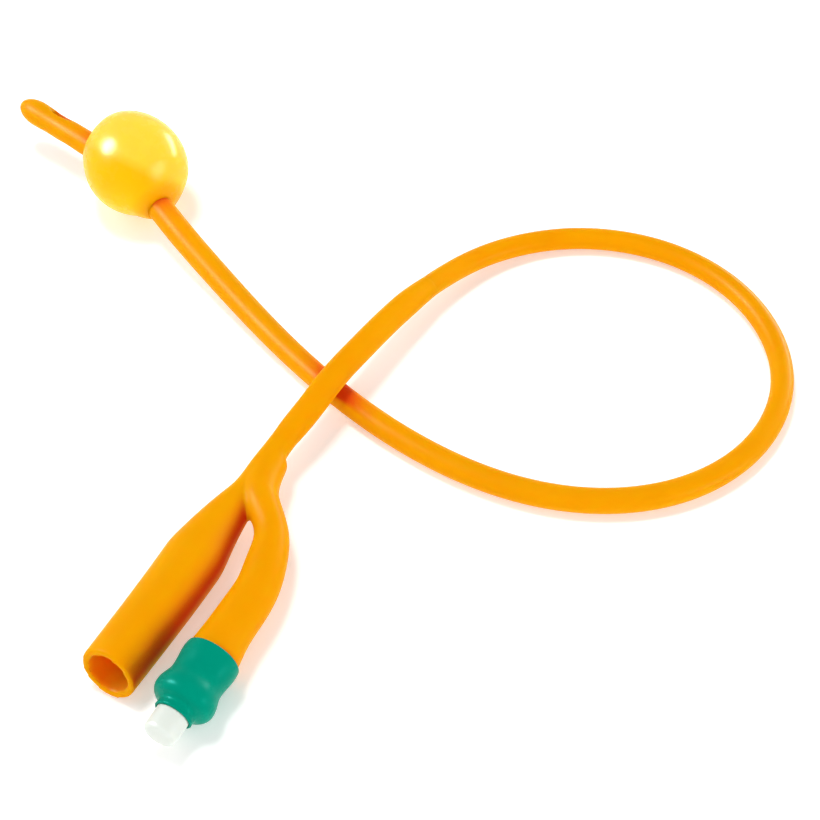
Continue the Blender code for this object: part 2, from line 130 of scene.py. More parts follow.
def cubic_through(knots, rows, t):
    """Values at t of the natural cubic spline through rows at the given knots."""
    n, h = len(knots), np.diff(knots)
    a, b = np.eye(n), np.zeros_like(rows)
    for i in range(1, n - 1):
        a[i, i - 1 : i + 2] = h[i - 1], 2 * (h[i - 1] + h[i]), h[i]
        b[i] = 6 * ((rows[i + 1] - rows[i]) / h[i] - (rows[i] - rows[i - 1]) / h[i - 1])
    bend = np.linalg.solve(a, b)
    i = np.clip(np.searchsorted(knots, t, side="right") - 1, 0, n - 2)
    after, before, width = (knots[i + 1] - t)[:, None], (t - knots[i])[:, None], h[i][:, None]
    return (
        (bend[i] * after**3 + bend[i + 1] * before**3) / (6 * width)
        + (rows[i] / width - bend[i] * width / 6) * after
        + (rows[i + 1] / width - bend[i + 1] * width / 6) * before
    )


def distances_along(points):
    """The distance of each point from the first, from point to point."""
    return np.concatenate([[0], np.cumsum(np.linalg.norm(np.diff(points, axis=0), axis=1))])


class Route:
    """A smooth curve through points, read by the distance along it."""

    def __init__(self, rows):
        rows = np.array(rows, float)
        chord = distances_along(rows[:, :3])
        t = np.linspace(0, chord[-1], int(chord[-1] / CURVE_STEP) + 1)
        self.values = cubic_through(chord, rows, t)
        self.along = distances_along(self.values[:, :3])
        self.length = self.along[-1]

    def read(self, s, column):
        return float(np.interp(s, self.along, self.values[:, column]))

    def direction(self, s):
        low = min(max(s - DIRECTION_REACH, 0), self.length - 2 * DIRECTION_REACH)
        ends = (low, low + 2 * DIRECTION_REACH)
        a, b = (Vector([self.read(x, k) for k in range(3)]) for x in ends)
        return (b - a).normalized()

    def point(self, s):
        """The curve's point at distance s, run on straight past either end."""
        inside = min(max(s, 0), self.length)
        return Vector([self.read(inside, k) for k in range(3)]) + self.direction(s) * (s - inside)

    def frame(self, s):
        """A placement at distance s: z runs along the curve, and y points as near up as it can."""
        z = self.direction(s)
        x = Vector((0, 0, 1)).cross(z).normalized()
        return Matrix.Translation(self.point(s)) @ Matrix((x, z.cross(x), z)).transposed().to_4x4()


# %% Sizes along the curve
def eased(s, knots):
    """A size at distance s that passes through (distance, size) knots with no kinks."""
    for (s0, a), (s1, b) in zip(knots, knots[1:]):
        if s <= s1:
            share = min(max((s - s0) / (s1 - s0), 0), 1)
            return a + (b - a) * (1 - math.cos(math.pi * share)) / 2
    return knots[-1][1]


def spaced(start, end, spacing):
    """Distances from start to end in even steps, no wider than the spacing."""
    return list(np.linspace(start, end, max(2, math.ceil((end - start) / spacing) + 1)))


line = Route(CENTRELINE)
print("centreline:", round(line.length / MM, 1), "mm")

# %% [markdown]
# ## The soft shaft
# The shaft is a rubber tube that lies in one loose loop. It runs under the neck and carries the
# balloon and the tip. It could be a mesh swept along the route. A curve object with a bevel is
# simpler, because a radius on each point gives the slow change in thickness of a tube that is
# stretched at one end. Its first points lie inside the neck, so that no joint shows.

# %% Shaft
NECK_END = 101.5 * MM  # distances are measured from the funnel's mouth
TIP_LENGTH = 25.8 * MM
BALLOON_FROM_NOSE = 33.0 * MM
BALLOON_LENGTH = 22.8 * MM
SHAFT_AT_NECK = 4.4 * MM
SHAFT_ON_FLOOR = 4.8 * MM
SHAFT_AT_BALLOON = 5.4 * MM
SHAFT_INSIDE_NECK = 3 * MM
THIN_LENGTH = 100 * MM  # from the neck to where the shaft starts to thicken
THICKENING_LENGTH = 45 * MM
STRETCHED_LENGTH = 60 * MM  # the part behind the balloon that thickens again
SHAFT_SPACING = 1.5 * MM


def add(name, data):
    o = bpy.data.objects.new(name, data)
    bpy.context.scene.collection.objects.link(o)
    return o


def shaft_radius(s):
    thin_end = NECK_END + THIN_LENGTH
    balloon_rear = line.length - BALLOON_FROM_NOSE - BALLOON_LENGTH / 2
    knots = [
        (thin_end, SHAFT_AT_NECK / 2),
        (thin_end + THICKENING_LENGTH, SHAFT_ON_FLOOR / 2),
        (balloon_rear - STRETCHED_LENGTH, SHAFT_ON_FLOOR / 2),
        (balloon_rear, SHAFT_AT_BALLOON / 2),
    ]
    return eased(s, knots)


shaft_curve = bpy.data.curves.new("soft_shaft", "CURVE")
shaft_curve.dimensions = "3D"
shaft_curve.bevel_depth = SHAFT_AT_BALLOON / 2
shaft_curve.bevel_resolution = 11
shaft_curve.use_fill_caps = True
shaft_end = line.length - TIP_LENGTH
stations = spaced(NECK_END - SHAFT_INSIDE_NECK, shaft_end, SHAFT_SPACING)
spline = shaft_curve.splines.new("POLY")
spline.points.add(len(stations) - 1)
for knot, s in zip(spline.points, stations):
    knot.co = (*line.point(s), 1)
    knot.radius = shaft_radius(s) / shaft_curve.bevel_depth
shaft = add("soft_shaft", shaft_curve)
print("shaft:", round((shaft_end - NECK_END) / MM, 1), "mm in", len(stations), "points")

# %% [markdown]
# ## Floor and light
# The floor is a plain white sheet. Two lamps high on the left light the object and draw short
# shadows to the right, and three low ones fill in round it. The balloon shows where the bright
# spots are: a round one on the left, and two soft ones on the right. Those are lamps of their
# own that only reflections see, so that neither light nor gloss has to give way to the other. A
# lamp's strength is given as its level: the brightness that it gives to a white surface that
# faces it. With all the levels adding up to about one, a colour renders about as it is written.

# %% Lamps
LOOK_AT = Vector((0, 0.02, 0))
LAMPS = [  # name, direction, distance, size, level, and whether only reflections see it
    ("key_lamp", (-0.741, -0.243, 0.629), 1.0, (0.8,), 0.28, False),
    ("high_lamp", (-0.27, 0.12, 0.955), 1.0, (0.25,), 0.46, False),
    ("front_lamp", (-0.05, -0.96, 0.28), 1.2, (0.8, 0.5), 0.3, False),
    ("rear_lamp", (0.1, 0.95, 0.3), 1.2, (0.8, 0.5), 0.28, False),
    ("right_lamp", (0.995, 0.003, 0.12), 1.2, (0.5, 0.35), 0.5, False),
    ("round_gloss", (-0.741, -0.243, 0.629), 1.0, (0.44,), 7.0, True),
    ("right_gloss", (0.985, -0.02, 0.1), 1.2, (0.6, 0.5), 1.1, True),
    ("rear_gloss", (0.3, 0.95, 0.12), 1.2, (0.8, 0.22), 1.3, True),
]


def add_lamp(name, direction, distance, size, level, gloss):
    """A soft rectangular or round lamp that gives a facing white surface this brightness."""
    data = bpy.data.lights.new(name, "AREA")
    data.shape = "DISK" if len(size) == 1 else "RECTANGLE"
    data.size = size[0]
    if len(size) == 2:
        data.size_y = size[1]
    data.energy = level * math.pi**2 * distance**2
    lamp = add(name, data)
    lamp.location = LOOK_AT + Vector(direction).normalized() * distance
    lamp.rotation_euler = (-Vector(direction)).to_track_quat("-Z", "Y").to_euler()
    lamp.visible_camera = False
    lamp.visible_diffuse = not gloss
    lamp.visible_glossy = gloss


for row in LAMPS:
    add_lamp(*row)
print("lamps:", [row[0] for row in LAMPS])

# %% [markdown]
# A cut-out picture has a plain white ground. A camera ray that meets the world or the floor
# should find white, and the rays that light the object should find much less, or they would wash
# it out. The Light Path node tells the rays apart. The floor stays a real surface, because it
# has to keep the shadows, and it glows a little, like a sheet lit from behind.

# %% White ground
WORLD_LEVEL = 0.28
FLOOR_SIZE = 1.0
FLOOR_COLOUR = (0.94, 0.93, 0.92, 1)
GLOW_COLOUR = (0.86, 0.86, 0.86, 1)
FLOOR_GLOW = 0.4
FLOOR_BOUNCE = 0.2  # the part of that glow that lights the undersides


def background_rays(nodes, links, to_min, to_max):
    """One value for the rays that see the background, and another for those that light things."""
    rays = nodes.new("ShaderNodeLightPath")
    total = rays.outputs["Is Camera Ray"]
    for kind in ("Is Glossy Ray", "Is Transmission Ray"):
        either = nodes.new("ShaderNodeMath")
        either.operation = "MAXIMUM"
        links.new(total, either.inputs[0])
        links.new(rays.outputs[kind], either.inputs[1])
        total = either.outputs[0]
    value = nodes.new("ShaderNodeMapRange")
    value.inputs["To Min"].default_value = to_min
    value.inputs["To Max"].default_value = to_max
    links.new(total, value.inputs["Value"])
    return value.outputs[0]


world = bpy.data.worlds.new("plain_room")
world.use_nodes = True
bpy.context.scene.world = world
room = world.node_tree.nodes
room_links = world.node_tree.links
room_light = background_rays(room, room_links, WORLD_LEVEL, 1.0)
room_links.new(room_light, room["Background"].inputs["Strength"])
room["Background"].inputs["Color"].default_value = (1, 1, 1, 1)
print("world:", world.name, "at level", WORLD_LEVEL)

# %% Floor
def new_material(name):
    m = bpy.data.materials.new(name)
    m.use_nodes = True
    return m, m.node_tree.nodes, m.node_tree.links


bm = bmesh.new()
bmesh.ops.create_grid(bm, x_segments=1, y_segments=1, size=FLOOR_SIZE / 2)
floor_mesh = bpy.data.meshes.new("floor")
bm.to_mesh(floor_mesh)
bm.free()
floor = add("floor", floor_mesh)
floor_material, nodes, links = new_material("white_floor")
sheet = nodes["Principled BSDF"]
sheet.inputs["Base Color"].default_value = FLOOR_COLOUR
sheet.inputs["Roughness"].default_value = 1.0
sheet.inputs["Specular IOR Level"].default_value = 0.0
sheet.inputs["Emission Color"].default_value = GLOW_COLOUR
glow = background_rays(nodes, links, FLOOR_BOUNCE, FLOOR_GLOW)
links.new(glow, sheet.inputs["Emission Strength"])
floor_mesh.materials.append(floor_material)
print("floor:", FLOOR_SIZE, "m wide")

bpy.context.scene.view_settings.view_transform = "Standard"

# %% [markdown]
# ## Rubber that isn't one flat colour
# Dipped latex is never quite even: its colour drifts slowly from place to place, and its skin
# has a fine unevenness that breaks up the highlights. All the rubber pieces share that, so it is
# one node group with its own inputs. It reads Object coordinates, which are the same all over
# the object, so the pattern runs on from the shaft to the tip and to the Y without a seam.

# %% Helpers for colours and node groups
def srgb(r, g, b):
    """A colour as a screen shows it, from 0 to 255, in the linear values that a shader takes."""
    parts = [c / 255 for c in (r, g, b)]
    return (*[c / 12.92 if c <= 0.04045 else ((c + 0.055) / 1.055) ** 2.4 for c in parts], 1)


def new_group(name, inputs, outputs):
    """An empty node group with named sockets. Each input also has its first value."""
    tree = bpy.data.node_groups.new(name, "ShaderNodeTree")
    for label, kind, value in inputs:
        socket = tree.interface.new_socket(name=label, in_out="INPUT", socket_type=kind)
        if value is not None:
            socket.default_value = value
    for label, kind in outputs:
        tree.interface.new_socket(name=label, in_out="OUTPUT", socket_type=kind)
    source = tree.nodes.new("NodeGroupInput")
    target = tree.nodes.new("NodeGroupOutput")
    return tree, source.outputs, target.inputs


def noise(tree, vector, scale, detail):
    n = tree.nodes.new("ShaderNodeTexNoise")
    n.inputs["Scale"].default_value = scale
    n.inputs["Detail"].default_value = detail
    tree.links.new(vector, n.inputs["Vector"])
    return n.outputs["Fac"]


def mapped(tree, value, low, high, to_low, to_high):
    """Stretches the range low to high of a value over another range."""
    n = tree.nodes.new("ShaderNodeMapRange")
    labels = ("From Min", "From Max", "To Min", "To Max")
    for label, number in zip(labels, (low, high, to_low, to_high)):
        n.inputs[label].default_value = number
    tree.links.new(value, n.inputs["Value"])
    return n.outputs[0]


# %% Node group for a dipped rubber skin
DRIFT_SCALE = 70  # a larger scale gives a finer pattern
UNEVEN_SCALE = 400
RELIEF_SCALE = 900
ROUGHNESS_SWING = 0.04
RELIEF_HEIGHT = 0.1 * MM

rubber_skin, given, result = new_group(
    "rubber_skin",
    [
        ("Vector", "NodeSocketVector", None),
        ("Colour", "NodeSocketColor", (1, 1, 1, 1)),
        ("Drift Colour", "NodeSocketColor", (1, 1, 1, 1)),
        ("Roughness", "NodeSocketFloat", 0.4),
        ("Relief", "NodeSocketFloat", 0.1),
    ],
    [
        ("Colour", "NodeSocketColor"),
        ("Roughness", "NodeSocketFloat"),
        ("Normal", "NodeSocketVector"),
    ],
)
drift = noise(rubber_skin, given["Vector"], DRIFT_SCALE, detail=2)
blend = rubber_skin.nodes.new("ShaderNodeMix")
blend.data_type = "RGBA"
rubber_skin.links.new(mapped(rubber_skin, drift, 0.4, 0.7, 0, 1), blend.inputs["Factor"])
rubber_skin.links.new(given["Colour"], blend.inputs["A"])
rubber_skin.links.new(given["Drift Colour"], blend.inputs["B"])
rubber_skin.links.new(blend.outputs["Result"], result["Colour"])

uneven = noise(rubber_skin, given["Vector"], UNEVEN_SCALE, detail=3)
uneven = mapped(rubber_skin, uneven, 0.3, 0.7, -ROUGHNESS_SWING, ROUGHNESS_SWING)
rough = rubber_skin.nodes.new("ShaderNodeMath")
rough.operation = "ADD"
rubber_skin.links.new(given["Roughness"], rough.inputs[0])
rubber_skin.links.new(uneven, rough.inputs[1])
rubber_skin.links.new(rough.outputs[0], result["Roughness"])

relief = rubber_skin.nodes.new("ShaderNodeBump")
relief.inputs["Distance"].default_value = RELIEF_HEIGHT
rubber_skin.links.new(given["Relief"], relief.inputs["Strength"])
fine = noise(rubber_skin, given["Vector"], RELIEF_SCALE, detail=4)
rubber_skin.links.new(fine, relief.inputs["Height"])
rubber_skin.links.new(relief.outputs["Normal"], result["Normal"])
print("node group:", rubber_skin.name)

# %% [markdown]
# ## The four finishes
# Latex lets some light in, and it comes out again nearby and redder. Subsurface scattering with
# a larger radius for red does that, where a plain colour would look like paint. Inside the
# funnel light comes through the wall and bounces there, and that light is painted in: the bore
# gets a brighter, stronger orange of its own. The balloon is the same latex stretched thin, so it
# is paler, yellower and glossier. The sleeve is a green rubber with a satin skin, and the plug is
# off-white plastic.

# %% Helpers for the finishes
def rubber(name, colour, drift_colour, roughness, relief):
    """A Principled BSDF fed by the rubber skin group."""
    m, nodes, links = new_material(name)
    place = nodes.new("ShaderNodeTexCoord")
    skin = nodes.new("ShaderNodeGroup")
    skin.node_tree = rubber_skin
    skin.inputs["Colour"].default_value = colour
    skin.inputs["Drift Colour"].default_value = drift_colour
    skin.inputs["Roughness"].default_value = roughness
    skin.inputs["Relief"].default_value = relief
    links.new(place.outputs["Object"], skin.inputs["Vector"])
    shader = nodes["Principled BSDF"]
    links.new(skin.outputs["Colour"], shader.inputs["Base Color"])
    links.new(skin.outputs["Roughness"], shader.inputs["Roughness"])
    links.new(skin.outputs["Normal"], shader.inputs["Normal"])
    return m, shader


def let_light_in(shader, weight, radius, scale):
    """Subsurface scattering: how much light goes in, and how far for red, green and blue."""
    shader.inputs["Subsurface Weight"].default_value = weight
    shader.inputs["Subsurface Radius"].default_value = radius
    shader.inputs["Subsurface Scale"].default_value = scale


def reflect(shader, level, tint=(1.0, 1.0, 1.0, 1)):
    shader.inputs["Specular IOR Level"].default_value = level
    shader.inputs["Specular Tint"].default_value = tint


# %% Orange latex
ORANGE, ORANGE_DRIFT = srgb(239, 161, 2), srgb(237, 155, 1)
# painted light: the bore's orange is brighter, for light that comes through the wall and bounces
# inside
INNER_ORANGE, INNER_DRIFT = srgb(255, 162, 20), srgb(255, 156, 18)
LATEX_RADIUS = (1.0, 0.3, 0.03)  # red goes deeper in than green, and green deeper than blue
LATEX_GLOSS_TINT = (1.0, 0.8, 0.5, 1)

latex, latex_shader = rubber("orange_latex", ORANGE, ORANGE_DRIFT, roughness=0.36, relief=0.1)
let_light_in(latex_shader, 0.4, LATEX_RADIUS, 2 * MM)
reflect(latex_shader, 0.025, LATEX_GLOSS_TINT)

moulded_latex, moulded_shader = rubber(
    "moulded_latex", ORANGE, ORANGE_DRIFT, roughness=0.36, relief=0.1
)
let_light_in(moulded_shader, 0.4, LATEX_RADIUS, 2 * MM)
reflect(moulded_shader, 0.014, LATEX_GLOSS_TINT)

inner_latex, shader = rubber("inner_latex", INNER_ORANGE, INNER_DRIFT, roughness=0.36, relief=0.1)
let_light_in(shader, 1.0, LATEX_RADIUS, 4 * MM)
reflect(shader, 0.025, LATEX_GLOSS_TINT)

shaft_curve.materials.append(latex)
print("orange finishes:", [m.name for m in (latex, moulded_latex, inner_latex)])

# %% Stretched latex, green rubber and white plastic
LEMON = srgb(255, 212, 62)
GREEN, GREEN_DRIFT = srgb(0, 150, 124), srgb(0, 144, 118)
WHITE, WHITE_DRIFT = srgb(231, 237, 229), srgb(228, 234, 226)

balloon_latex, shader = rubber("stretched_latex", LEMON, LEMON, roughness=0.26, relief=0.03)
let_light_in(shader, 0.8, (1.0, 0.9, 0.1), 2.5 * MM)
reflect(shader, 0.13, (1.0, 0.93, 0.65, 1))

green_rubber, shader = rubber("green_rubber", GREEN, GREEN_DRIFT, roughness=0.29, relief=0.12)
reflect(shader, 0.04, (0.0, 1.0, 0.95, 1))

white_plastic, shader = rubber("white_plastic", WHITE, WHITE_DRIFT, roughness=0.35, relief=0.04)
let_light_in(shader, 0.3, (1.0, 0.9, 0.8), 0.8 * MM)
reflect(shader, 0.2)
print("other finishes:", [m.name for m in (balloon_latex, green_rubber, white_plastic)])

# %% [markdown]
# Where two orange surfaces face each other, they shade each other, and light goes to and fro
# between them and comes back redder each time: on the side of the funnel that looks at the arm,
# and on the shaft beside the neck that crosses it. This shade and redder light are painted: the
# Ambient Occlusion node measures how closed in a place is, and its value, kept to the side in
# question, mixes a deep orange into the latex as painted shade.

# %% Painted shade: deep orange where latex faces latex
# painted shade: this deep orange stands in for shade and redder bounced light in creases
PAINTED_SHADE_ORANGE = srgb(226, 78, 22)
CREASE_SHADE_REACH = 9 * MM
CLOSED_IN, OPEN = 0.5, 0.95  # values of the Ambient Occlusion node


def paint_crease_shade(material, shader, direction, low, high, strength):
    """Paints shade into the colour: mixes deep orange into closed-in places whose surface faces
    the direction.

    The mask runs from 0 to 1 where the cosine between the two runs from low to high.
    """
    skin = material.node_tree
    crease = skin.nodes.new("ShaderNodeAmbientOcclusion")
    crease.samples = 8
    crease.inputs["Distance"].default_value = CREASE_SHADE_REACH
    facing = skin.nodes.new("ShaderNodeVectorMath")
    facing.operation = "DOT_PRODUCT"
    facing.inputs[1].default_value = Vector(direction).normalized()
    skin.links.new(skin.nodes["Texture Coordinate"].outputs["Normal"], facing.inputs[0])
    share = skin.nodes.new("ShaderNodeMath")
    share.operation = "MULTIPLY"
    depth = mapped(skin, crease.outputs["AO"], CLOSED_IN, OPEN, strength, 0)
    skin.links.new(depth, share.inputs[0])
    skin.links.new(mapped(skin, facing.outputs["Value"], low, high, 0, 1), share.inputs[1])
    tint = skin.nodes.new("ShaderNodeMix")
    tint.data_type = "RGBA"
    skin.links.new(share.outputs[0], tint.inputs["Factor"])
    skin.links.new(skin.nodes["Group"].outputs["Colour"], tint.inputs["A"])
    tint.inputs["B"].default_value = PAINTED_SHADE_ORANGE
    skin.links.new(tint.outputs["Result"], shader.inputs["Base Color"])


TOWARDS_ARM, UP = (0.79, 0, 0.61), (0, 0, 1)
# painted shade on the funnel's side that faces the arm, and painted shadow of the neck on the
# shaft
paint_crease_shade(moulded_latex, moulded_shader, TOWARDS_ARM, low=0.66, high=0.92, strength=1.15)
paint_crease_shade(latex, latex_shader, UP, low=0.6, high=0.9, strength=2.0)
print("deepened:", moulded_latex.name, "and", latex.name)

# %% [markdown]
# ## Sweeping, cutting and softening
# Three helpers make most of the shapes. The first draws a tube: a circle is extruded from
# station to station, and each new ring is moved, turned and scaled to its place. The second cuts
# or joins with a Boolean modifier. The third turns a joined form into one even skin with a
# voxel remesh, and softens it, because a rubber moulding has no sharp inner corners.

# %% Helpers that sweep
TUBE_SIDES = 64
RING_SPACING = 0.8 * MM


def sweep(bm, placements, sides):
    """Draws a tube through the placements, each of which carries a circle of radius 1."""
    ring = bmesh.ops.create_circle(bm, segments=sides, radius=1, matrix=placements[0])
    edges = list({e for v in ring["verts"] for e in v.link_edges})
    first = edges
    for before, after in zip(placements, placements[1:]):
        grown = bmesh.ops.extrude_edge_only(bm, edges=edges)["geom"]
        verts = {g for g in grown if isinstance(g, bmesh.types.BMVert)}
        edges = [g for g in grown if isinstance(g, bmesh.types.BMEdge) and set(g.verts) <= verts]
        bmesh.ops.transform(bm, matrix=after @ before.inverted(), verts=list(verts))
    for end in (first, edges):
        bmesh.ops.contextual_create(bm, geom=end)


def station(route, s, radius):
    """A ring's placement at distance s along the route."""
    return route.frame(s) @ Matrix.Diagonal((radius, radius, 1, 1))


def from_bmesh(name, bm):
    bmesh.ops.recalc_face_normals(bm, faces=bm.faces[:])
    mesh = bpy.data.meshes.new(name)
    bm.to_mesh(mesh)
    bm.free()
    mesh.shade_smooth()
    return add(name, mesh)


def tube(name, route, distances, radius_at):
    bm = bmesh.new()
    sweep(bm, [station(route, s, radius_at(s)) for s in distances], TUBE_SIDES)
    return from_bmesh(name, bm)


# %% Helpers that cut, join and soften
def bake_modifiers(o):
    """Carries out the object's modifiers and keeps the result as its plain mesh."""
    evaluated = o.evaluated_get(bpy.context.evaluated_depsgraph_get())
    mesh = bpy.data.meshes.new_from_object(evaluated)
    o.modifiers.clear()
    o.data = mesh


def combine(o, tool, operation):
    m = o.modifiers.new(operation.lower(), "BOOLEAN")
    m.operation = operation
    m.solver = "EXACT"
    m.object = tool
    bake_modifiers(o)
    bpy.data.objects.remove(tool)


def soften(bm, rounds, where=None):
    chosen = [v for v in bm.verts if where is None or where(v.co)]
    for _ in range(rounds):
        bmesh.ops.smooth_vert(
            bm,
            verts=chosen,
            factor=0.5,
            use_axis_x=True,
            use_axis_y=True,
            use_axis_z=True,
        )


def one_skin(o, voxel, rounds, extra=()):
    """Remeshes to one even skin, softens all of it, and some regions more."""
    m = o.modifiers.new("one_skin", "REMESH")
    m.mode = "VOXEL"
    m.voxel_size = voxel
    bake_modifiers(o)
    bm = bmesh.new()
    bm.from_mesh(o.data)
    soften(bm, rounds)
    for more, where in extra:
        soften(bm, more, where)
    bm.to_mesh(o.data)
    bm.free()
    o.data.shade_smooth()
    print(o.name, "has", len(o.data.polygons), "faces")


# %% [markdown]
# ## The moulded Y
# The Y is one moulding: a thick neck that opens into the drainage funnel, a bulge where the
# inflation channel starts, and a curved arm. Modelling it by hand face by face would be slow, and
# it would be hard to keep round. Two tubes and a ball are joined instead, the mouth and the bore
# are cut, and one remesh melts the joins into soft creases and rounds the rim.

# %% Sizes of the Y
MOUTH_DIAMETER = 10.3 * MM
SHOULDER_DIAMETER = 10.95 * MM
BARREL_LENGTH = 26.0 * MM
CONE_LENGTH = 13.5 * MM
CONE_END_DIAMETER = 6.5 * MM
STEP_LENGTH = 2.6 * MM  # the cone ends in a small shoulder on the neck
FORK_DIAMETER = 5.4 * MM
FORK_LENGTH = 6.0 * MM
WAIST_DIAMETER = 4.75 * MM
WAIST_LENGTH = 5.5 * MM
NECK_DIAMETER = 5.15 * MM
NECK_TAPER_LENGTH = 7.0 * MM
NECK_END_TAPER = 5.0 * MM
PROFILE_SOFTNESS = 1.4 * MM
NECK_OVERLAP = 2.0 * MM  # how far the skin runs on over the shaft, flush with it
MOUTH_WALL = 1.3 * MM
SHOULDER_WALL = 1.5 * MM
LUMEN_DIAMETER = 2.8 * MM
MOUTH_CUT_ANGLE = math.radians(10.0)
BULGE_DIAMETER = 5.7 * MM
BULGE_CENTRE = (-0.0059, 0.0009, 0.0060)
ARM_UNDER_SLEEVE_DIAMETER = 8.0 * MM
SLEEVE_BAND_LENGTH = 7.9 * MM
BORE_LENGTH = 54.5 * MM  # it runs on past the cone as the drainage lumen
ARM_GRIP_TAPER = 1.2 * MM
RIM_ALLOWANCE = 0.6 * MM  # what the softening takes off the mouth's rim

ARM = [  # x, y, z and diameter
    (-0.0061, 0.0034, 0.0058, 0.0051),
    (-0.0057, -0.0008, 0.0061, 0.0062),
    (-0.0043, -0.0051, 0.0064, 0.0069),
    (-0.0004, -0.0087, 0.0065, 0.0060),
    (0.0024, -0.0120, 0.0062, 0.0063),
    (0.0043, -0.0168, 0.0059, 0.0073),
    (0.00555, -0.0216, 0.0055, 0.0077),
    (0.00595, -0.0266, 0.0055, 0.00805),
    (0.0061, -0.0320, 0.0055, 0.0083),
    (0.0064, -0.0366, 0.0055, 0.0092),
    (0.0067, -0.0447, 0.0055, 0.0093),
]
arm = Route(ARM)
print("arm:", round(arm.length / MM, 1), "mm")

# %% The Y's radii
def drawn(s, knots):
    """A size at distance s on straight lines through (distance, size) knots, with soft corners."""
    near = np.linspace(s - PROFILE_SOFTNESS, s + PROFILE_SOFTNESS, 9)
    return float(np.mean(np.interp(near, *zip(*knots))))


def funnel_radius(s):
    cone_end = BARREL_LENGTH + CONE_LENGTH
    fork = cone_end + STEP_LENGTH
    waist = fork + FORK_LENGTH + WAIST_LENGTH
    skin_end = NECK_END + NECK_OVERLAP
    knots = [
        (0, MOUTH_DIAMETER / 2),
        (BARREL_LENGTH, SHOULDER_DIAMETER / 2),
        (cone_end, CONE_END_DIAMETER / 2),
        (fork, FORK_DIAMETER / 2),
        (fork + FORK_LENGTH, FORK_DIAMETER / 2),
        (waist, WAIST_DIAMETER / 2),
        (waist + NECK_TAPER_LENGTH, NECK_DIAMETER / 2),
        (NECK_END - NECK_END_TAPER, NECK_DIAMETER / 2),
        (skin_end, shaft_radius(skin_end)),
    ]
    return drawn(s, knots)


def bore_radius(s):
    knots = [
        (0, MOUTH_DIAMETER / 2 - MOUTH_WALL),
        (BARREL_LENGTH - SHOULDER_WALL, SHOULDER_DIAMETER / 2 - SHOULDER_WALL),
        (BARREL_LENGTH + CONE_LENGTH - SHOULDER_WALL, LUMEN_DIAMETER / 2),
    ]
    return eased(s, knots)


def arm_radius(s):
    """The arm's own radius, stepped in where the sleeve grips it."""
    grip = arm.length - SLEEVE_BAND_LENGTH
    if s < grip:
        return arm.read(s, 3) / 2
    knots = [
        (grip, arm.read(grip, 3) / 2),
        (grip + ARM_GRIP_TAPER, ARM_UNDER_SLEEVE_DIAMETER / 2),
    ]
    return eased(s, knots)


print("mouth:", round(2 * funnel_radius(0) / MM, 2), "mm outside")

# %% Funnel, arm and bulge joined
PAST_MOUTH = 3 * MM  # the funnel is drawn this much longer, and cut off at the mouth

skin_stations = spaced(-PAST_MOUTH, NECK_END + NECK_OVERLAP, RING_SPACING)
y_funnel = tube("y_skin", line, skin_stations, funnel_radius)
arm_stations = spaced(0, arm.length, RING_SPACING)
combine(y_funnel, tube("arm_form", arm, arm_stations, arm_radius), "UNION")

bm = bmesh.new()
bmesh.ops.create_uvsphere(
    bm,
    u_segments=48,
    v_segments=32,
    radius=BULGE_DIAMETER / 2,
    matrix=Matrix.Translation(BULGE_CENTRE),
)
combine(y_funnel, from_bmesh("bulge_form", bm), "UNION")
print("joined form:", len(y_funnel.data.polygons), "faces")

# %% Mouth and bore cut
CUT_SIZE, CUT_DEPTH = 20 * MM, 8 * MM
BORE_SPACING = 1.2 * MM

bm = bmesh.new()
bmesh.ops.create_cube(bm, size=1)
bmesh.ops.scale(bm, vec=(CUT_SIZE, CUT_DEPTH, CUT_SIZE), verts=bm.verts[:])
bmesh.ops.translate(bm, vec=(0, -CUT_DEPTH / 2, 0), verts=bm.verts[:])
slant = Matrix.Rotation(-MOUTH_CUT_ANGLE, 3, "X")
bmesh.ops.rotate(bm, cent=(0, 0, 0), matrix=slant, verts=bm.verts[:])
bmesh.ops.translate(bm, vec=line.point(-RIM_ALLOWANCE), verts=bm.verts[:])
combine(y_funnel, from_bmesh("mouth_cut", bm), "DIFFERENCE")

bore_stations = spaced(-2 * PAST_MOUTH, BORE_LENGTH, BORE_SPACING)
combine(y_funnel, tube("drain_bore", line, bore_stations, bore_radius), "DIFFERENCE")
print("cut form:", len(y_funnel.data.polygons), "faces")

# %% One soft skin
Y_VOXEL = 0.3 * MM
Y_ROUNDS = 4
NEAR_FORK_ROUNDS = 4
ABOVE_FORK_ROUNDS = 20


def near_fork(p):
    return -0.009 < p.y < 0.010


def above_fork(p):
    return -0.0045 < p.y < 0.009


softer = [(NEAR_FORK_ROUNDS, near_fork), (ABOVE_FORK_ROUNDS, above_fork)]
one_skin(y_funnel, Y_VOXEL, Y_ROUNDS, softer)
y_funnel.data.materials.append(moulded_latex)
y_funnel.data.materials.append(inner_latex)

# %% [markdown]
# The bore's faces are picked by where their centres lie: inside the bore's radius at their own
# distance from the mouth, and a little below the rim, whose rounding keeps the outer finish.

# %% Inner latex for the bore
RIM_SOFTNESS = 0.35 * MM  # how far the softening may move a bore face outwards
RIM_ROUND = 0.2 * MM

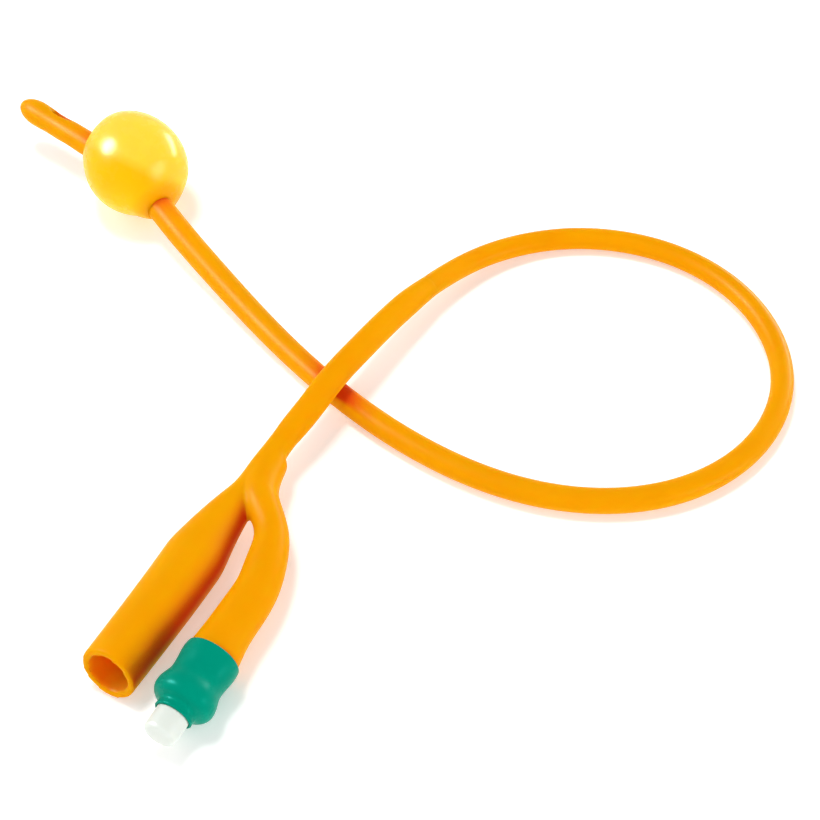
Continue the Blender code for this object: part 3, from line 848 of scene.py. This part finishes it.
faces = y_funnel.data.polygons
centres = np.empty(3 * len(faces))
faces.foreach_get("center", centres)
x, y, z = centres.reshape(-1, 3).T
along = y - CENTRELINE[0][1]
deep = np.linspace(0, BORE_LENGTH, 60)
limit = np.interp(along, deep, [bore_radius(s) for s in deep]) + RIM_SOFTNESS
rim = line.point(-RIM_ALLOWANCE)
cut_y, cut_z = math.cos(MOUTH_CUT_ANGLE), math.sin(MOUTH_CUT_ANGLE)
below_rim = (y - rim.y) * cut_y - (z - rim.z) * cut_z
within = np.hypot(x - rim.x, z - rim.z) < limit
inside = within & (below_rim > RIM_ROUND) & (along < BORE_LENGTH)
faces.foreach_set("material_index", inside.astype(int))
print("bore faces:", int(inside.sum()))

# %% [markdown]
# ## The closed tip
# The tip is stiffer latex with a round nose. Behind the nose two long drainage eyes are punched
# through the wall, one above and one below, and their rims are drawn in by the dipping that
# follows. A Boolean cuts each slot, and a shallow egg-shaped cut round it makes the drawn-in rim.

# %% Sizes of the tip
TIP_HEAD_DIAMETER = 5.32 * MM
TIP_WAIST_DIAMETER = 5.0 * MM
TIP_REAR_DIAMETER = 5.2 * MM
NOSE_LENGTH = 5.0 * MM
SOLID_NOSE_LENGTH = 5.4 * MM
TIP_WAIST_FROM_NOSE = 9.5 * MM
TIP_REAR_FROM_NOSE = 16.0 * MM
EYE_LENGTH = 4.8 * MM
EYE_WIDTH = 2.0 * MM
EYE_FROM_NOSE = 10.4 * MM
SECOND_EYE_FROM_NOSE = 15.4 * MM
EYE_LEAN = math.radians(40.0)
EYE_RIM_LENGTH = 7.8 * MM
EYE_RIM_WIDTH = 3.4 * MM
EYE_RIM_DEPTH = 0.65 * MM
NOSE_RINGS = 16
LUMEN_SPACING = 2 * MM
LEAST_NOSE = 0.0004  # the last ring keeps 2% of the radius, so that it can be capped


def tip_radius(s):
    d = line.length - s
    if d < NOSE_LENGTH:
        roundness = 1 - (1 - d / NOSE_LENGTH) ** 2
        return TIP_HEAD_DIAMETER / 2 * math.sqrt(max(roundness, LEAST_NOSE))
    knots = [
        (NOSE_LENGTH, TIP_HEAD_DIAMETER / 2),
        (TIP_WAIST_FROM_NOSE, TIP_WAIST_DIAMETER / 2),
        (TIP_REAR_FROM_NOSE, TIP_REAR_DIAMETER / 2),
    ]
    return eased(d, knots)


behind_nose = line.length - NOSE_LENGTH
print("tip:", round(2 * tip_radius(behind_nose) / MM, 2), "mm across behind the nose")

# %% Tools that punch the drainage eyes
def eye_slot(name, place):
    """A slot with round ends that runs outwards from the tip's middle."""
    bm = bmesh.new()
    half = EYE_LENGTH / 2 - EYE_WIDTH / 2
    laid = Matrix.Rotation(math.pi / 2, 4, "X")
    bmesh.ops.create_circle(bm, cap_ends=True, segments=32, radius=EYE_WIDTH / 2, matrix=laid)
    for v in bm.verts:
        v.co.z += half if v.co.z > 0 else -half
    grown = bmesh.ops.extrude_face_region(bm, geom=bm.faces[:])["geom"]
    top = [g for g in grown if isinstance(g, bmesh.types.BMVert)]
    bmesh.ops.translate(bm, vec=(0, TIP_HEAD_DIAMETER, 0), verts=top)
    bmesh.ops.transform(bm, matrix=place, verts=bm.verts[:])
    return from_bmesh(name, bm)


def eye_rim(name, place):
    """A shallow egg that dips into the wall round the slot."""
    bm = bmesh.new()
    bmesh.ops.create_uvsphere(bm, u_segments=40, v_segments=24, radius=1)
    egg = (EYE_RIM_WIDTH / 2, 2 * EYE_RIM_DEPTH, EYE_RIM_LENGTH / 2)
    bmesh.ops.scale(bm, vec=egg, verts=bm.verts[:])
    out = TIP_WAIST_DIAMETER / 2 + EYE_RIM_DEPTH
    bmesh.ops.translate(bm, vec=(0, out, 0), verts=bm.verts[:])
    bmesh.ops.transform(bm, matrix=place, verts=bm.verts[:])
    return from_bmesh(name, bm)


# %% Tip
TIP_VOXEL = 0.12 * MM
TIP_ROUNDS = 6

nose, rear = line.length, line.length - TIP_LENGTH
turn = [math.pi / 2 * k / NOSE_RINGS for k in range(NOSE_RINGS + 1)]
nose_stations = [nose - NOSE_LENGTH * (1 - math.sin(a)) for a in turn]
tip_stations = spaced(rear, nose - NOSE_LENGTH, RING_SPACING)[:-1] + nose_stations
tip = tube("closed_tip", line, tip_stations, tip_radius)
lumen_stations = spaced(rear - LUMEN_SPACING, nose - SOLID_NOSE_LENGTH, LUMEN_SPACING)
lumen = tube("tip_lumen", line, lumen_stations, lambda s: LUMEN_DIAMETER / 2)
combine(tip, lumen, "DIFFERENCE")
eyes = ((EYE_FROM_NOSE, EYE_LEAN), (SECOND_EYE_FROM_NOSE, EYE_LEAN + math.pi))
for from_nose, lean in eyes:
    place = line.frame(nose - from_nose) @ Matrix.Rotation(lean, 4, "Z")
    combine(tip, eye_rim("eye_rim", place), "DIFFERENCE")
    combine(tip, eye_slot("eye_slot", place), "DIFFERENCE")
one_skin(tip, TIP_VOXEL, TIP_ROUNDS)
tip.data.materials.append(latex)

# %% [markdown]
# ## The filled balloon
# The balloon is a sleeve of thin latex whose two ends are bonded to the shaft, and water swells
# it into a fat egg. It rests on the table, so most of it is above the shaft. A plain sphere would
# sit evenly round the shaft. Here one closed skin is swept along the same route as the shaft,
# with rings that grow, rise and move a little aside between the two bonded ends.

# %% Balloon
BALLOON_DIAMETER = 20.8 * MM
BALLOON_LIFT = 2.5 * MM
BALLOON_ASIDE = 1.25 * MM
BOND_WALL = 0.25 * MM
RISE = 1.6  # the rings reach their full lift before they reach their full width
BALLOON_RINGS = 64
BALLOON_SIDES = 96

balloon_middle = line.length - BALLOON_FROM_NOSE
bond_radius = SHAFT_AT_BALLOON / 2 + BOND_WALL


def balloon_station(angle):
    """A ring of the egg. The angle runs from 0 at the rear end to pi at the front end."""
    radius = max(BALLOON_DIAMETER / 2 * math.sin(angle), bond_radius)
    z = -BALLOON_LENGTH / 2 * math.cos(angle)
    room = (radius - bond_radius) / (BALLOON_DIAMETER / 2 - bond_radius)
    share = min(1, RISE * room)
    aside = Matrix.Translation((-BALLOON_ASIDE * share, 0, 0))
    lifted = Matrix.Translation((0, 0, BALLOON_LIFT * share)) @ line.frame(balloon_middle + z)
    return lifted @ aside @ Matrix.Diagonal((radius, radius, 1, 1))


bond_angle = math.asin(bond_radius / (BALLOON_DIAMETER / 2))
angles = list(np.linspace(bond_angle, math.pi - bond_angle, BALLOON_RINGS))
bm = bmesh.new()
sweep(bm, [balloon_station(a) for a in angles], BALLOON_SIDES)
balloon = from_bmesh("filled_balloon", bm)
balloon.data.materials.append(balloon_latex)
print("balloon:", len(balloon.data.polygons), "faces")

# %% [markdown]
# The shaft lies low in the balloon and shows through the wet latex, and the lower side lies in
# shade. Both are painted into the colour: one half of the skin is painted golden and the other
# left lemon. The distance of a point from a slanting plane through the balloon's middle gives
# the tone, read from a colour ramp. At the two bonded ends the latex is thick, so it goes over
# to orange with the distance from the nearer end.

# %% Painted golden side of the balloon: the shaft seen through, and shade
# painted: the shaft seen through the wall and shade on the balloon's lower side, as golden tones
PAINTED_GOLD_SIDE = Vector((-0.09, -0.74, -0.66)).normalized()
PAINTED_GOLD_STEPS = [  # a place on the way through the balloon, and its colour
    (0.43, LEMON),
    (0.54, srgb(255, 192, 0)),
    (0.75, srgb(255, 198, 0)),
    (0.97, srgb(255, 208, 14)),
]
skin = balloon_latex.node_tree
side = skin.nodes.new("ShaderNodeVectorMath")
side.operation = "DOT_PRODUCT"
side.inputs[1].default_value = PAINTED_GOLD_SIDE
skin.links.new(skin.nodes["Texture Coordinate"].outputs["Object"], side.inputs[0])
middle = balloon_station(math.pi / 2).translation.dot(PAINTED_GOLD_SIDE)
reach = BALLOON_DIAMETER / 2
depth = mapped(skin, side.outputs["Value"], middle - reach, middle + reach, 0, 1)
tone = skin.nodes.new("ShaderNodeValToRGB")
skin.links.new(depth, tone.inputs["Fac"])
for position, _ in PAINTED_GOLD_STEPS[2:]:
    tone.color_ramp.elements.new(position)
for step, (position, colour) in zip(tone.color_ramp.elements, PAINTED_GOLD_STEPS):
    step.position = position
    step.color = colour
print("golden side:", len(PAINTED_GOLD_STEPS), "tones")

# %% Orange at the bonded ends
BOND_COLOUR = srgb(252, 160, 0)
BOND_NEAR, BOND_FAR = 2.8 * MM, 6.5 * MM
BOND_SHARE = 0.9

distances = []
for angle in (angles[0], angles[-1]):
    gap = skin.nodes.new("ShaderNodeVectorMath")
    gap.operation = "DISTANCE"
    gap.inputs[1].default_value = balloon_station(angle).translation
    skin.links.new(skin.nodes["Texture Coordinate"].outputs["Object"], gap.inputs[0])
    distances.append(gap.outputs["Value"])
nearer = skin.nodes.new("ShaderNodeMath")
nearer.operation = "MINIMUM"
skin.links.new(distances[0], nearer.inputs[0])
skin.links.new(distances[1], nearer.inputs[1])
share = mapped(skin, nearer.outputs[0], BOND_NEAR, BOND_FAR, BOND_SHARE, 0)
bonded = skin.nodes.new("ShaderNodeMix")
bonded.data_type = "RGBA"
skin.links.new(share, bonded.inputs["Factor"])
skin.links.new(tone.outputs["Color"], bonded.inputs["A"])
bonded.inputs["B"].default_value = BOND_COLOUR
for label in ("Colour", "Drift Colour"):
    skin.links.new(bonded.outputs["Result"], skin.nodes["Group"].inputs[label])
print("bonded ends:", len(distances))

# %% [markdown]
# ## Sleeve and plug
# The plug is turned from white plastic: a stub that shows, a collar, and a shank inside the arm.
# The green sleeve is stretched over the arm's end and over the collar, which is why it has a
# waist, a bulge and a small rolled lip. Both are round, so a profile spun once round is the
# natural way. The sleeve's outer profile runs through a few measured points on a spline.

# %% Profiles of sleeve and plug
SLEEVE_PROFILE = [  # radius and height in millimetres, from the band's edge to the lip
    (4.98, -7.85),
    (5.05, -7.3),
    (4.98, -5.3),
    (4.76, -3.3),
    (4.85, -2.0),
    (5.28, -0.6),
    (5.50, 0.7),
    (5.32, 1.7),
    (4.70, 2.45),
    (3.95, 2.85),
    (3.56, 3.15),
    (3.42, 3.7),
    (3.46, 4.3),
]
SLEEVE_INSIDE = [  # the same, from the lip back to the band
    (3.15, 4.6),
    (3.02, 4.3),
    (3.05, 2.65),
    (4.6, 2.55),
    (4.6, 0.3),
    (4.15, -0.3),
    (4.15, -6.5),
    (4.62, -7.9),
]
SHANK_DIAMETER = 4.4 * MM
SHANK_LENGTH = 9.0 * MM
COLLAR_DIAMETER = 9.0 * MM
COLLAR_BACK = 0.4 * MM
COLLAR_FRONT = 2.3 * MM
STUB_DIAMETER = 5.9 * MM
STUB_END = 8.8 * MM
STUB_EDGE = 0.8 * MM
print("sleeve:", round(SLEEVE_INSIDE[0][1] - SLEEVE_INSIDE[-1][1], 1), "mm long")

# %% Helpers that turn a profile
SPIN_STEPS = 96
CORNER_STEPS = 8
MERGE_DISTANCE = 0.001 * MM


def spun(name, profile, place):
    """A solid turned from (radius, height) points, put at a placement whose z axis is its own."""
    bm = bmesh.new()
    points = [bm.verts.new((radius, 0, height)) for radius, height in profile]
    for a, b in zip(points, points[1:]):
        bm.edges.new((a, b))
    if profile[0][0] > 0:
        bm.edges.new((points[-1], points[0]))
    bmesh.ops.spin(
        bm,
        geom=bm.verts[:] + bm.edges[:],
        axis=(0, 0, 1),
        cent=(0, 0, 0),
        angle=2 * math.pi,
        steps=SPIN_STEPS,
        use_merge=True,
    )
    bmesh.ops.remove_doubles(bm, verts=bm.verts[:], dist=MERGE_DISTANCE)
    bmesh.ops.transform(bm, matrix=place, verts=bm.verts[:])
    return from_bmesh(name, bm)


def rounded(radius, height, edge):
    """Profile points of a corner, turning from the side to the top."""
    quarter = [math.pi / 2 * k / CORNER_STEPS for k in range(CORNER_STEPS + 1)]
    turn = [(1 - math.cos(a), 1 - math.sin(a)) for a in quarter]
    return [(radius - edge * across, height - edge * down) for across, down in turn]


# %% Sleeve
PROFILE_POINTS = 80

arm_end = arm.frame(arm.length)
rows = np.array(SLEEVE_PROFILE) * MM
chord = distances_along(rows)
outside = cubic_through(chord, rows, np.linspace(0, chord[-1], PROFILE_POINTS))
sleeve_outside = [tuple(p) for p in outside]
sleeve_inside = [(r * MM, z * MM) for r, z in SLEEVE_INSIDE]
sleeve = spun("green_sleeve", sleeve_outside + sleeve_inside, arm_end)
sleeve.data.materials.append(green_rubber)
print("sleeve:", len(sleeve.data.polygons), "faces")

# %% Plug
SHARP_ANGLE = math.radians(50)

stub, shank, collar = STUB_DIAMETER / 2, SHANK_DIAMETER / 2, COLLAR_DIAMETER / 2
plug_profile = [
    (0, -SHANK_LENGTH),
    (shank, -SHANK_LENGTH),
    (shank, COLLAR_BACK),
    (collar, COLLAR_BACK),
    (collar, COLLAR_FRONT),
    (stub, COLLAR_FRONT),
    *rounded(stub, STUB_END, STUB_EDGE),
    (0, STUB_END),
]
plug = spun("valve_stub", plug_profile, arm_end)
plug.data.set_sharp_from_angle(angle=SHARP_ANGLE)
plug.data.materials.append(white_plastic)
print("plug:", len(plug.data.polygons), "faces")

# %% [markdown]
# ## Putting the pieces on the frame
# Each new piece stands for one node of the imported model and rides on its body.

# %% Finish
for piece, node, finish in (
    (y_funnel, "y_funnel", "latex"),
    (shaft, "drainage_shaft", "latex"),
    (tip, "catheter_tip", "latex"),
    (balloon, "retention_balloon", "stretched_latex"),
    (sleeve, "valve_sleeve", "green_rubber"),
    (plug, "valve_plug", "white_plastic"),
):
    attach(piece, "root")
    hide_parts(node)
